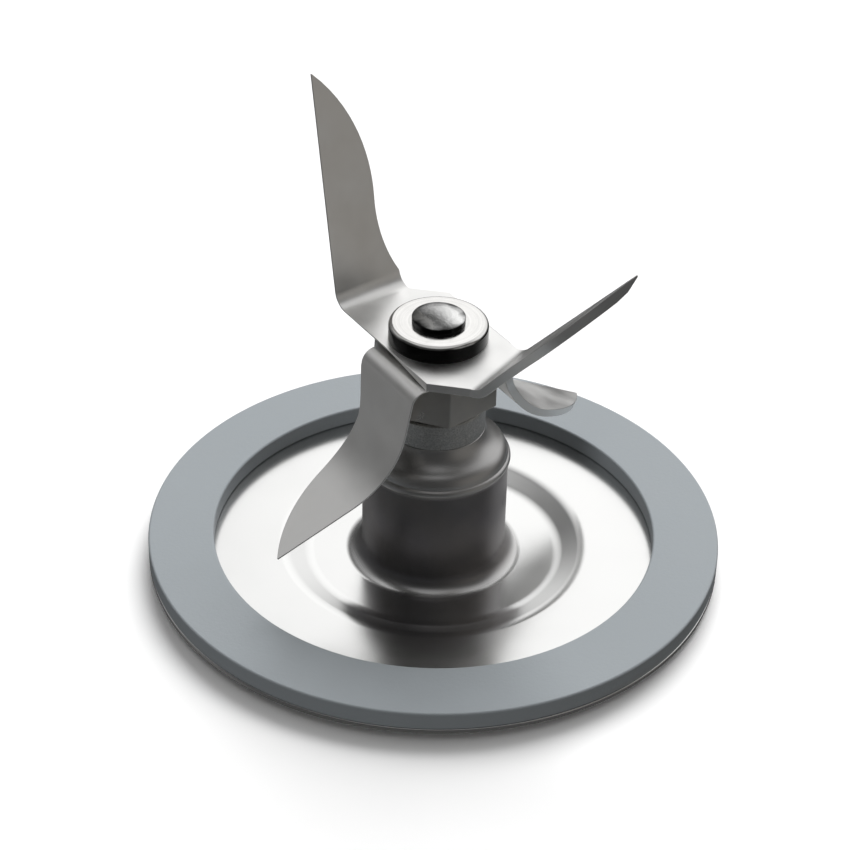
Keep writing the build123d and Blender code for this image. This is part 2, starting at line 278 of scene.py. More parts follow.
def add_node(tree, kind, inputs=None, **settings):
    """Adds a shader node: settings are its properties, inputs fill or link its sockets."""
    made = tree.nodes.new("ShaderNode" + kind)
    for name, value in settings.items():
        setattr(made, name, value)
    for place, value in (inputs or {}).items():
        if isinstance(value, bpy.types.Node):
            value = next(output for output in value.outputs if output.enabled)
        if isinstance(value, bpy.types.NodeSocket):
            tree.links.new(value, made.inputs[place])
        else:
            made.inputs[place].default_value = value
    return made


def tinted(rgb, factor=1.0):
    """A colour made lighter or darker, with the alpha that a socket wants."""
    return tuple(min(1.0, part * factor) for part in rgb) + (1.0,)


def start_material(name, values):
    """A material whose shader takes the values, with its tree, its shader and the Object coordinates."""
    material = bpy.data.materials.new(name)
    material.use_nodes = True
    tree = material.node_tree
    tree.nodes.clear()
    shader = add_node(tree, "BsdfPrincipled", values)
    add_node(tree, "OutputMaterial", {"Surface": shader})
    coords = add_node(tree, "TexCoord").outputs["Object"]
    return material, tree, shader, coords


def from_axis(tree, coords):
    """How far each point is from the spindle's axis."""
    flat = add_node(tree, "Mapping", {"Vector": coords, "Scale": (1.0, 1.0, 0.0)})
    return add_node(tree, "VectorMath", {0: flat}, operation="LENGTH").outputs["Value"]


def finish_surface(tree, shader, colours, colour_by, gloss, gloss_by, height, depth):
    """Mixes two colours and two roughnesses by patterns, and makes bumps of a depth in mm."""
    shades = {MIX_FACTOR: colour_by, MIX_FIRST: colours[0], MIX_SECOND: colours[1]}
    mixed = add_node(tree, "Mix", shades, data_type="RGBA")
    levels = {"From Min": NOISE_LOW, "From Max": NOISE_HIGH, "To Min": gloss[0], "To Max": gloss[1]}
    rough = add_node(tree, "MapRange", {"Value": gloss_by, **levels})
    bump = add_node(tree, "Bump", {"Strength": 1.0, "Distance": depth * MM, "Height": height})
    tree.links.new(mixed.outputs[MIX_RESULT], shader.inputs["Base Color"])
    tree.links.new(rough.outputs[0], shader.inputs["Roughness"])
    tree.links.new(bump.outputs[0], shader.inputs["Normal"])


def drawn_stainless(look):
    """Deep-drawn stainless: a bright disc, and a streaked tower darkened by painted shade, with a
    painted highlight on its shoulder.
    """
    material, tree, shader, coords = start_material("deep_drawn_stainless", METAL)
    foot = look.tower_radius + look.foot_fillet
    # This mask paints shade on the tower wall and its foot, and also sets their roughness and streaks
    wall = add_node(
        tree,
        "MapRange",
        {"Value": from_axis(tree, coords), "From Min": foot, "From Max": look.tower_radius},
        interpolation_type="SMOOTHSTEP",
    )
    level = add_node(tree, "SeparateXYZ", {0: coords}).outputs["Z"]
    # Above the lip the painted shade is halved: a painted highlight on the shoulder, which faces up
    lit_shoulder = add_node(
        tree,
        "MapRange",
        {
            "Value": level,
            "From Min": look.lip_height - look.lip_width,
            "From Max": look.lip_height,
            "To Min": 1.0,
            "To Max": 0.5,
        },
    )
    dark = add_node(tree, "Math", {0: wall, 1: lit_shoulder}, operation="MULTIPLY")
    # Streaks left by the die are drawn coarser than real so that they show
    streak, patch = 0.3 * MM, 6.0 * MM
    upright = add_node(tree, "Mapping", {"Vector": coords, "Scale": (1.0, 1.0, 0.03)})
    streaks = add_node(tree, "TexNoise", {"Vector": upright, "Scale": 1 / streak, "Detail": 3.0})
    clouds = add_node(tree, "TexNoise", {"Vector": coords, "Scale": 1 / patch, "Detail": 2.0})
    # Each pair mixes a disc colour with a tower colour that holds painted shade
    tones = (
        (tinted(look.steel, 0.96), tinted(look.shaded_tower, 0.8)),
        (tinted(look.steel, 1.03), tinted(look.straw_in_shade, 1.2)),
    )
    shades = [
        add_node(
            tree, "Mix", {MIX_FACTOR: dark, MIX_FIRST: disc, MIX_SECOND: tower}, data_type="RGBA"
        )
        for disc, tower in tones
    ]
    gloss = [
        add_node(
            tree,
            "MapRange",
            {"Value": wall, "To Min": look.roughness * part, "To Max": look.drawn_roughness * part},
        )
        for part in (0.9, 1.1)
    ]
    height = add_node(tree, "Math", {0: streaks, 1: wall}, operation="MULTIPLY")
    finish_surface(tree, shader, shades, clouds, gloss, clouds, height, depth=0.004)
    return material


def worked_steel(name, rgb, roughness, grain, stretch, direction, grain_depth, wave, wave_depth):
    """Satin sheet or drawn bar: grain stretched one way, soft waves and a cloudy gloss, sizes in mm."""
    material, tree, shader, coords = start_material(name, METAL)
    turned = add_node(tree, "Mapping", {"Vector": coords, "Rotation": (0.0, 0.0, -direction)})
    stretched = add_node(tree, "Mapping", {"Vector": turned, "Scale": stretch})
    # The grain is drawn coarser than real so that it shows
    lines = add_node(tree, "TexNoise", {"Vector": stretched, "Scale": 1 / (grain * MM), "Detail": 1.0})
    clouds = add_node(tree, "TexNoise", {"Vector": coords, "Scale": 1 / (wave * MM), "Detail": 2.0})
    # The waves are deeper than the grain, so the grain is added as a small share
    part = grain_depth / wave_depth
    heights = add_node(tree, "Math", {0: lines, 1: part, 2: clouds}, operation="MULTIPLY_ADD")
    shades = (tinted(rgb, 0.8), tinted(rgb, 1.2))
    gloss = (roughness * 0.75, roughness * 1.25)
    finish_surface(tree, shader, shades, clouds, gloss, clouds, heights, wave_depth)
    return material


def turned_steel(
    name, rgb, roughness, pitch, depth, dents=0.0, askew=0.0, black=None, shade_below=0.0, shade_wander=0.0
):
    """Steel from the lathe: rings catch the light, and below a wandering line the colour may turn black
    as painted shade.
    """
    material, tree, shader, coords = start_material(name, METAL)
    apart = add_node(tree, "SeparateXYZ", {0: coords})
    level = apart.outputs["Z"]
    path = add_node(tree, "Math", {0: from_axis(tree, coords), 1: level}, operation="ADD")
    # The rings are drawn coarser than real so that they show
    rings = add_node(
        tree,
        "TexNoise",
        {"W": path, "Scale": 1 / (pitch * MM), "Detail": 2.0},
        noise_dimensions="1D",
    )
    mark = 1.6 * MM
    clouds = add_node(tree, "TexNoise", {"Vector": coords, "Scale": 1 / mark, "Detail": 3.0})
    heights = rings
    if dents:
        heights = add_node(tree, "Math", {0: clouds, 1: dents, 2: heights}, operation="MULTIPLY_ADD")
    if askew:
        tilt = {0: apart.outputs["X"], 1: tan(askew) / (depth * MM), 2: heights}
        heights = add_node(tree, "Math", tilt, operation="MULTIPLY_ADD")
    shades = [tinted(rgb, 0.88), tinted(rgb, 1.12)]
    # Below a wandering line the colour turns black: painted shade for sides that face the dark room
    if shade_below:
        edge = 0.1 * MM
        line = shade_below + shade_wander / 2
        worn = add_node(tree, "Math", {0: clouds, 1: shade_wander, 2: level}, operation="MULTIPLY_ADD")
        limits = {"From Min": line - edge, "From Max": line + edge}
        unshaded = add_node(tree, "MapRange", {"Value": worn, **limits})
        shades = [
            add_node(
                tree,
                "Mix",
                {MIX_FACTOR: unshaded, MIX_FIRST: tinted(black), MIX_SECOND: shade},
                data_type="RGBA",
            )
            for shade in shades
        ]
    gloss = (roughness * 0.7, roughness * 1.3)
    finish_surface(tree, shader, shades, rings, gloss, clouds, heights, depth)
    return material


def sintered_metal(name, rgb, roughness):
    """Pressed and sintered powder soaked with oil: dull, with dark pores and lighter worn patches."""
    material, tree, shader, coords = start_material(name, METAL)
    # The pores are drawn coarser than real so that they show
    pore, patch = 0.18 * MM, 0.8 * MM
    pores = add_node(tree, "TexVoronoi", {"Vector": coords, "Scale": 1 / pore})
    clouds = add_node(tree, "TexNoise", {"Vector": coords, "Scale": 1 / patch, "Detail": 4.0})
    spots = add_node(tree, "Math", {0: pores, 1: clouds}, operation="MULTIPLY")
    shades = (tinted(rgb, 0.7), tinted(rgb, 1.6))
    gloss = (roughness - 0.08, roughness + 0.08)
    finish_surface(tree, shader, shades, spots, gloss, clouds, spots, depth=0.02)
    return material


def moulded_rubber(name, rgb, roughness):
    """Nitrile rubber from a mould: matt, finely pitted, a little mottled by handling."""
    material, tree, shader, coords = start_material(name, {"IOR": 1.5})
    # The pits are drawn coarser than real so that they show
    pit, patch = 0.35 * MM, 5.0 * MM
    pits = add_node(
        tree, "TexNoise", {"Vector": coords, "Scale": 1 / pit, "Detail": 3.0, "Roughness": 0.6}
    )
    mottle = add_node(tree, "TexNoise", {"Vector": coords, "Scale": 1 / patch, "Detail": 3.0})
    shades = (tinted(rgb, 0.94), tinted(rgb, 1.06))
    gloss = (roughness - 0.08, roughness + 0.08)
    finish_surface(tree, shader, shades, mottle, gloss, mottle, pits, depth=0.02)
    return material


def pressed_felt(name, rgb):
    """Pressed wool felt: matt, with a tangle of short fibres and a soft sheen."""
    material, tree, shader, coords = start_material(name, {"Sheen Weight": 0.4})
    # The fibres are drawn coarser than real so that they show
    fibre = 0.25 * MM
    fibres = add_node(
        tree, "TexNoise", {"Vector": coords, "Scale": 1 / fibre, "Detail": 4.0, "Roughness": 0.7}
    )
    shades = (tinted(rgb, 0.8), tinted(rgb, 1.2))
    finish_surface(tree, shader, shades, fibres, (0.85, 0.95), fibres, fibres, depth=0.08)
    return material


def moulded_plastic(name, rgb):
    """Acetal from a mould: smooth and slightly waxy, with faint flow clouds."""
    material, tree, shader, coords = start_material(name, {"IOR": 1.48})
    cloud = 2.0 * MM
    clouds = add_node(tree, "TexNoise", {"Vector": coords, "Scale": 1 / cloud, "Detail": 4.0})
    shades = (tinted(rgb, 0.92), tinted(rgb, 1.08))
    finish_surface(tree, shader, shades, clouds, (0.34, 0.46), clouds, clouds, depth=0.006)
    return material


# Meshes


def draw(bm, start, *moves):
    """Draws edges in the XZ plane: a move is a point (x, z) or an arc (centre x, centre z, angle)."""
    first = vert = bm.verts.new((start[0], 0.0, start[1]))
    for move in moves:
        if len(move) == 2:
            vert = bmesh.ops.extrude_vert_indiv(bm, verts=[vert])["verts"][0]
            vert.co = (move[0], 0.0, move[1])
        else:
            centre = (move[0], 0.0, move[1])
            arc = bmesh.ops.spin(
                bm, geom=[vert], cent=centre, axis=(0, -1, 0), angle=move[2], steps=ARC_STEPS
            )
            vert = arc["geom_last"][0]
    return first, vert


def arc_to(start, heading, end):
    """Arc from a point at a heading to another point, as a move for draw, and its last heading."""
    run, rise = end[0] - start[0], end[1] - start[1]
    lean = atan2(rise, run) - heading
    radius = hypot(run, rise) / (2 * sin(lean))
    centre = (start[0] - radius * sin(heading), start[1] + radius * cos(heading))
    return (*centre, 2 * lean), heading + 2 * lean


def backwards(arc):
    """The same arc drawn from its end to its start."""
    return arc[0], arc[1], -arc[2]


def round_corner(bm, place, radius):
    """Rounds the corner of a drawn line that stands at a place."""
    vert = min(bm.verts, key=lambda each: (each.co - Vector((place[0], 0.0, place[1]))).length)
    before, after = (edge.other_vert(vert).co - vert.co for edge in vert.link_edges)
    run = radius * tan((pi - before.angle(after)) / 2)
    bmesh.ops.bevel(bm, geom=[vert], offset=run, segments=CORNER_STEPS, **BEVEL)


def spin_round(bm):
    """Turns a drawn profile round the Z axis and closes its seam and poles."""
    bmesh.ops.spin(
        bm,
        geom=bm.verts[:] + bm.edges[:],
        cent=(0, 0, 0),
        axis=(0, 0, 1),
        angle=2 * pi,
        steps=TURN_STEPS,
        use_merge=True,
    )
    bmesh.ops.remove_doubles(bm, verts=bm.verts[:], dist=MERGE_DISTANCE)
    bmesh.ops.dissolve_degenerate(bm, edges=bm.edges[:], dist=MERGE_DISTANCE)


def make_piece(bm, name, material, edge, node, body):
    """Turns a bmesh into a finished piece with broken edges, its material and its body."""
    bmesh.ops.recalc_face_normals(bm, faces=bm.faces[:])
    mesh = bpy.data.meshes.new(name)
    bm.to_mesh(mesh)
    bm.free()
    mesh.shade_smooth()
    mesh.set_sharp_from_angle(angle=CRISP_ANGLE)
    mesh.materials.append(material)
    piece = bpy.data.objects.new(name, mesh)
    bpy.context.scene.collection.objects.link(piece)
    if edge:
        broken = piece.modifiers.new("broken_edges", "BEVEL")
        broken.width = edge
        broken.segments = 3
        broken.limit_method = "ANGLE"
        broken.angle_limit = SOFTEN_ANGLE
        broken.use_clamp_overlap = False
    flats = piece.modifiers.new("flat_faces", "WEIGHTED_NORMAL")
    flats.keep_sharp = True
    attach(piece, body)
    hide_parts(node)
    return piece


def dress(node_name, material):
    """Gives a carried-over CAD node its material."""
    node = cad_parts[node_name]
    node.data.materials.clear()
    node.data.materials.append(material)


def arc_rise(run, full_run, full_rise):
    """Height of an arc above the line that it leaves flat, after part of its run."""
    radius = (full_run**2 + full_rise**2) / (2 * full_rise)
    return radius - sqrt(radius**2 - run**2)


def steps(count):
    """Shares from just after 0 up to 1."""
    return [step / count for step in range(1, count + 1)]


def wing_row(place, lead, trail, steel, flip):
    """Corners of a wing's section between two points of its upper face, thin at the leading one."""
    lead, trail = Vector((*lead, 0.0)), Vector((*trail, 0.0))
    inwards = trail - lead
    width = inwards.length
    inwards.normalize()
    inset = min(steel.grind, width / 2)

    def under(distance):
        """Point of the underside at a distance from the leading edge."""
        depth = steel.land + (steel.sheet - steel.land) * min(1.0, distance / steel.grind)
        return lead + inwards * distance - Vector((0.0, 0.0, depth))

    corners = [lead, trail, under(width), under(width - inset), under(inset), under(0.0)]
    if flip:
        corners = [corners[1], corners[0]] + corners[:1:-1]
    return [place @ corner for corner in corners]


def sweep_blade(bm, rows):
    """Extrudes a face from row to row and closes both ends."""
    face = bm.faces.new([bm.verts.new(point) for point in rows[0]])
    for row in rows[1:]:
        face = bmesh.ops.extrude_discrete_faces(bm, faces=[face])["faces"][0]
        for vert, point in zip(face.verts, row):
            vert.co = point
    open_edges = [edge for edge in bm.edges if edge.is_boundary]
    bmesh.ops.holes_fill(bm, edges=open_edges, sides=len(rows[0]))


def upper_wing_rows(look, steel, top, reach, angle, slant, tip_lead, flip):
    """Rows of an upper wing from the middle of the hub to its tip, outwards along +X."""
    shift, swing = Matrix.Translation, Matrix.Rotation
    setback = look.bend_radius * tan(angle / 2)
    bend_length = look.bend_radius * angle
    lead_end = (look.lead + setback * sin(slant)) / cos(slant)
    trail_end = (setback * sin(slant) - look.trail) / cos(slant)
    bend_line = shift((reach, 0, top)) @ swing(slant, 4, "Z") @ shift((-setback, 0, 0))

    def bend_frame(part):
        """Place on the bend, from 0 at the hub to 1 at the wing, on the upper face."""
        turned = swing(-part * angle, 4, "Y")
        return bend_line @ shift((0, 0, look.bend_radius)) @ turned @ shift((0, 0, -look.bend_radius))

    def flat_place(run, along):
        """Place on the blade before it was bent, from the start of the bend and along its line."""
        return Vector((reach, 0)) + Matrix.Rotation(slant, 2) @ Vector((run - setback, along))

    hub = shift((0, 0, top))
    corner_lead = flat_place(0, lead_end).x / 2
    rows = [
        wing_row(hub, (0.0, look.lead), (0.0, -look.lead), steel, flip),
        wing_row(hub, (corner_lead, look.lead), (look.corner_reach, -look.lead), steel, flip),
    ]
    for part in [0.0] + steps(BEND_STEPS):
        rows.append(wing_row(bend_frame(part), (0.0, lead_end), (0.0, trail_end), steel, flip))

    wing = bend_frame(1.0) @ shift((setback - bend_length, 0, 0))
    wing = wing @ swing(-slant, 4, "Z") @ shift((-reach, 0, 0))
    lead_root, trail_root = flat_place(bend_length, lead_end), flat_place(bend_length, trail_end)
    root_run = look.waist_reach - trail_root.x
    root_rise = look.waist_lead - trail_root.y
    tip_run = look.tip_reach - look.waist_reach
    tip_rise = tip_lead - steel.tip - look.waist_lead
    tip = Vector((look.tip_reach, tip_lead))
    marks = [trail_root.x + part * root_run for part in steps(CURVE_ROWS)]
    marks += [look.waist_reach + part * tip_run for part in steps(CURVE_ROWS)]
    for along in marks:
        lead = lead_root.lerp(tip, (along - trail_root.x) / (look.tip_reach - trail_root.x))
        if along < look.waist_reach:
            side = look.waist_lead - arc_rise(look.waist_reach - along, root_run, root_rise)
        else:
            side = look.waist_lead + arc_rise(along - look.waist_reach, tip_run, tip_rise)
        rows.append(wing_row(wing, lead, (along, side), steel, flip))
    return rows


def lower_wing_places(look, top):
    """Places along a lower wing's upper face, and where its bend starts."""
    setback = look.bend_radius * tan(look.dip_angle / 2)
    bend_start = look.bend_reach - setback
    opening = look.dip_angle - look.flare_angle
    flare_setback = look.flare_radius * tan(opening / 2)
    dip_length = look.drop / sin(look.dip_angle) - setback - flare_setback
    flare_reach = look.bend_reach + look.drop / tan(look.dip_angle)
    tip_length = (look.tip_reach - flare_reach) / cos(look.flare_angle) - flare_setback
    shift = Matrix.Translation
    places = [shift((along, 0, top)) for along in (0.0, bend_start - look.corner_run, bend_start)]

    def walk_bend(radius, angle):
        """Goes round a bend, up where the radius is positive and down where it is negative."""
        start = places[-1]
        for part in steps(BEND_STEPS):
            turned = Matrix.Rotation(-part * angle if radius > 0 else part * angle, 4, "Y")
            places.append(start @ shift((0, 0, radius)) @ turned @ shift((0, 0, -radius)))

    def walk_on(distance, count):
        """Goes straight on in a few rows."""
        start = places[-1]
        for part in steps(count):
            places.append(start @ shift((part * distance, 0, 0)))

    walk_bend(-look.bend_radius, look.dip_angle)
    walk_on(dip_length, CURVE_ROWS // 2)
    walk_bend(look.flare_radius, opening)
    walk_on(tip_length, 2 * CURVE_ROWS)
    return places, bend_start


def lower_wing_rows(look, steel, top, flip):
    """Rows of a lower wing from the middle of the hub to its tip, outwards along +X."""
    places, bend_start = lower_wing_places(look, top)
    tip_run = look.tip_reach - look.waist_reach
    tip_rise = look.tip_lead + look.waist_trail - steel.tip
    rows = []
    for place in places:
        reach, level = place.translation.x, place.translation.z
        outer = max(0.0, reach - look.bend_reach) / (look.tip_reach - look.bend_reach)
        lead = look.lead + (look.tip_lead - look.lead) * outer
        if reach < bend_start - MERGE_DISTANCE:
            trail = -look.lead
        else:
            taper = (top - level - look.taper_from) / (look.taper_to - look.taper_from)
            trail = -look.trail + (look.trail - look.waist_trail) * min(1.0, max(0.0, taper))
            trail += arc_rise(min(tip_run, max(0.0, reach - look.waist_reach)), tip_run, tip_rise)
        rows.append(wing_row(place, (0.0, lead), (0.0, trail), steel, flip))
    return rows


def join_wings(first, second, direction):
    """Rows of a whole blade from one tip to the other, turned into its direction."""
    facing = Matrix.Rotation(direction, 4, "Z")
    behind = Matrix.Rotation(direction + pi, 4, "Z")
    rows = [[facing @ point for point in row] for row in reversed(first)]
    return rows + [[behind @ point for point in row] for row in second[1:]]


# Operators


class CUTTER_OT_base_plate(bpy.types.Operator):
    """Builds the drawn base plate with its tower."""

    bl_idname = "cutter.base_plate"
    bl_label = "Base plate"

    def execute(self, context):
        look = context.scene.cutter_plate
        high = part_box("base_plate")[1]
        collar_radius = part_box("upper_bush")[1].x
        flange_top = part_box("sealing_gasket")[0].z
        plate_radius, tower_top = high.x, high.z
        flange_inner = look.rest_radius + look.step_run
        foot_radius = look.tower_radius + look.foot_fillet
        foot_level = look.sheet + look.foot_fillet
        bore_radius = look.tower_radius - look.sheet
        lip_start = (look.tower_radius, look.lip_height - look.lip_width / 2)
        crease = (look.tower_radius - look.crease, look.lip_height + look.lip_width / 2)
        lip_lean = 2 * atan((2 * look.lip_swell + look.crease) / look.lip_width)
        lip_heading = pi / 2 + atan(look.crease / look.lip_width) - lip_lean
        lip_arc = arc_to(lip_start, lip_heading, crease)[0]

        # The shoulder leaves the crease upright, rounds over and runs hollow up to the bush's collar
        turn_place = (look.shoulder_radius, crease[1] + look.shoulder_rise)
        round_arc, heading = arc_to(crease, pi / 2, turn_place)
        hollow_arc = arc_to(turn_place, heading, (collar_radius, tower_top))[0]
        inner_place = (
            turn_place[0] - look.sheet * sin(heading),
            turn_place[1] + look.sheet * cos(heading),
        )
        hole_rim = (look.hole_radius, tower_top - look.sheet)
        inner_round, inner_heading = arc_to((bore_radius, crease[1]), pi / 2, inner_place)
        inner_hollow = arc_to(inner_place, inner_heading, hole_rim)[0]

        bm = bmesh.new()
        first, last = draw(
            bm,
            (plate_radius, flange_top - look.sheet),
            (plate_radius, flange_top),
            (flange_inner, flange_top),
            (look.rest_radius, look.sheet),
            (foot_radius, look.sheet),
            (foot_radius, foot_level, -pi / 2),
            lip_start,
            lip_arc,
            round_arc,
            hollow_arc,
            (look.hole_radius, tower_top),
            hole_rim,
            backwards(inner_hollow),
            backwards(inner_round),
            (bore_radius, foot_level),
            (foot_radius, foot_level, pi / 2),
            (look.rest_radius, 0.0),
            (flange_inner, flange_top - look.sheet),
        )
        bm.edges.new((last, first))
        for corner in (
            (flange_inner, flange_top),
            (look.rest_radius, look.sheet),
            (look.rest_radius, 0.0),
            (flange_inner, flange_top - look.sheet),
        ):
            round_corner(bm, corner, look.step_round)
        spin_round(bm)
        steel = drawn_stainless(look)
        make_piece(bm, "drawn_base_plate", steel, look.edge, "base_plate", "base")
        return {"FINISHED"}


class CUTTER_OT_gasket(bpy.types.Operator):
    """Builds the rubber sealing ring on the flange."""

    bl_idname = "cutter.gasket"
    bl_label = "Sealing gasket"

    def execute(self, context):
        look = context.scene.cutter_gasket
        low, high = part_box("sealing_gasket")
        outer, inner = high.x, high.x - look.width
        bm = bmesh.new()
        corners = ((outer, low.z), (outer, high.z), (inner, high.z), (inner, low.z))
        first, last = draw(bm, *corners)
        bm.edges.new((last, first))
        for corner in corners:
            round_corner(bm, corner, look.edge_round)
        spin_round(bm)
        rubber = moulded_rubber("moulded_nitrile_rubber", look.rubber, look.roughness)
        make_piece(bm, "rubber_gasket", rubber, 0.0, "sealing_gasket", "base")
        return {"FINISHED"}


class CUTTER_OT_bearing(bpy.types.Operator):
    """Builds the upper bush and dresses the bearing pieces inside the tower."""

    bl_idname = "cutter.bearing"
    bl_label = "Bearing pieces"

    def execute(self, context):
        look = context.scene.cutter_bearing
        low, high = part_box("upper_bush")
        tower_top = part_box("base_plate")[1].z
        collar = high.x
        bm = bmesh.new()
        first, last = draw(
            bm,
            (look.bore_radius, low.z),
            (look.spigot_radius, low.z),
            (look.spigot_radius, tower_top),
            (collar, tower_top),
            (collar, high.z - look.collar_edge),
            (collar - look.collar_edge, high.z),
            (look.recess_radius, high.z),
            (look.recess_radius, high.z - look.recess_depth),
            (look.bore_radius, high.z - look.recess_depth),
        )
        bm.edges.new((last, first))
        spin_round(bm)
        iron = sintered_metal("sintered_iron", look.iron, roughness=0.42)
        make_piece(bm, "flanged_bush", iron, look.edge, "upper_bush", "base")

        dress("lower_bush", sintered_metal("sintered_bronze", look.bronze, roughness=0.45))
        dress("oil_felt", pressed_felt("pressed_wool_felt", look.felt))
        dress("shaft_seal", moulded_rubber("moulded_seal_rubber", look.seal, roughness=0.5))
        plastic = moulded_plastic("moulded_acetal", look.plastic)
        dress("lower_thrust_washer", plastic)
        dress("upper_thrust_washer", plastic)
        coupling = turned_steel(
            "turned_coupling_steel", look.coupling, roughness=0.3, pitch=0.25, depth=0.003
        )
        dress("drive_coupling", coupling)
        return {"FINISHED"}


class CUTTER_OT_spindle(bpy.types.Operator):
    """Builds the spindle with its riveted head, the hex spacer and the clamp washer."""

    bl_idname = "cutter.spindle"
    bl_label = "Spindle, spacer and washer"

    def execute(self, context):
        look = context.scene.cutter_spindle
        low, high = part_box("spindle")
        hex_low, hex_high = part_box("hex_spacer")
        washer_low, washer_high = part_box("clamp_washer")

        dome_radius = (look.head_radius**2 + look.head_dome**2) / (2 * look.head_dome)
        bm = bmesh.new()
        draw(
            bm,
            (0.0, low.z),
            (look.lower_tenon_radius, low.z),
            (look.lower_tenon_radius, low.z + look.web),
            (look.journal_radius, low.z + look.web),
            (look.journal_radius, hex_low.z),
            (look.tenon_radius, hex_low.z),
            (look.tenon_radius, washer_high.z),
            (look.head_radius, washer_high.z),
            (look.head_radius, washer_high.z + look.head_rim),
            (0.0, high.z - dome_radius, asin(look.head_radius / dome_radius)),
        )
        spin_round(bm)
        head = turned_steel(
            "ground_spindle_steel",
            look.head_steel,
            roughness=0.12,
            pitch=0.3,
            depth=0.006,
            dents=8.0,
            askew=look.head_askew,
            # Black up to a share of the dome is painted shade on the head's rim
            black=look.painted_shade_black,
            shade_below=washer_high.z + look.head_rim + look.head_dome * look.head_shade_share,
            shade_wander=look.head_shade_wander,
        )
        make_piece(bm, "riveted_spindle", head, look.head_edge, "spindle", "rotor")

        bm = bmesh.new()
        corner_radius = look.flat_radius / cos(pi / 6)
        facing = Matrix.Rotation(look.hex_turn + pi / 6, 3, "Z")
        bmesh.ops.create_circle(bm, cap_ends=True, segments=6, radius=corner_radius)
        bmesh.ops.translate(bm, verts=bm.verts[:], vec=(0, 0, hex_low.z))
        bmesh.ops.rotate(bm, verts=bm.verts[:], cent=(0, 0, 0), matrix=facing)
        raised = bmesh.ops.extrude_face_region(bm, geom=bm.faces[:])["geom"]
        top = [part for part in raised if isinstance(part, bmesh.types.BMVert)]
        bmesh.ops.translate(bm, verts=top, vec=(0, 0, hex_high.z - hex_low.z))
        bmesh.ops.bevel(bm, geom=top, offset=corner_radius - look.flat_radius, segments=1, **BEVEL)
        # Drawn hexagon bar: dull streaks along its length
        bar = worked_steel(
            "drawn_hexagon_bar",
            look.spacer_steel,
            roughness=0.34,
            grain=0.2,
            stretch=(1.0, 1.0, 0.05),
            direction=0.0,
            grain_depth=0.002,
            wave=3.0,
            wave_depth=0.003,
        )
        make_piece(bm, "hexagon_spacer", bar, look.hex_edge, "hex_spacer", "rotor")

        outer = washer_high.x
        bm = bmesh.new()
        corners = (
            (look.tenon_radius, washer_low.z),
            (outer, washer_low.z),
            (outer, washer_high.z),
            (look.tenon_radius, washer_high.z),
        )
        first, last = draw(bm, *corners)
        bm.edges.new((last, first))
        round_corner(bm, corners[2], look.washer_round)
        spin_round(bm)
        bright = turned_steel(
            "turned_polished_washer",
            look.washer_steel,
            roughness=0.18,
            pitch=0.35,
            depth=0.008,
            # Black below the rounded edge is painted shade on the washer's side
            black=look.painted_shade_black,
            shade_below=washer_high.z - look.washer_round / 2,
            shade_wander=look.washer_shade_wander,
        )
        edge = look.washer_edge
        make_piece(bm, "turned_washer", bright, edge, "clamp_washer", "rotor")
        return {"FINISHED"}


class CUTTER_OT_blades(bpy.types.Operator):
    """Builds the two crossed sheet blades."""

    bl_idname = "cutter.blades"
    bl_label = "Blades"

    def execute(self, context):
        scene = context.scene
        steel, upper, lower = scene.cutter_steel, scene.cutter_upper, scene.cutter_lower
        hub_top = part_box("lower_blade")[1].z

        upper_top = hub_top + steel.sheet
        steep = (upper.steep_reach, upper.steep_angle, upper.steep_slant, upper.steep_tip)
        shallow = (upper.shallow_reach, upper.shallow_angle, upper.shallow_slant, upper.shallow_tip)
        first = upper_wing_rows(upper, steel, upper_top, *steep, flip=False)
        second = upper_wing_rows(upper, steel, upper_top, *shallow, flip=True)
        rows = join_wings(first, second, upper.direction)
        self.finish_blade("upper", rows, steel, upper.direction)

        first = lower_wing_rows(lower, steel, hub_top, flip=False)
        second = lower_wing_rows(lower, steel, hub_top, flip=True)
        rows = join_wings(first, second, lower.direction)
        self.finish_blade("lower", rows, steel, lower.direction)
        return {"FINISHED"}

    def finish_blade(self, which, rows, steel, direction):
        """Makes one blade's mesh and satin steel, whose rolling grain runs along the blade."""
        bm = bmesh.new()
        sweep_blade(bm, rows)
        satin = worked_steel(
            f"satin_stainless_{which}",
            steel.steel,
            steel.roughness,
            grain=0.2,
            stretch=(0.04, 1.0, 0.04),
            direction=direction,
            grain_depth=0.0008,
            wave=5.0,
            wave_depth=0.06,
        )
        name, node = f"{which}_sheet_blade", f"{which}_blade"
        make_piece(bm, name, satin, steel.edge, node, "rotor")


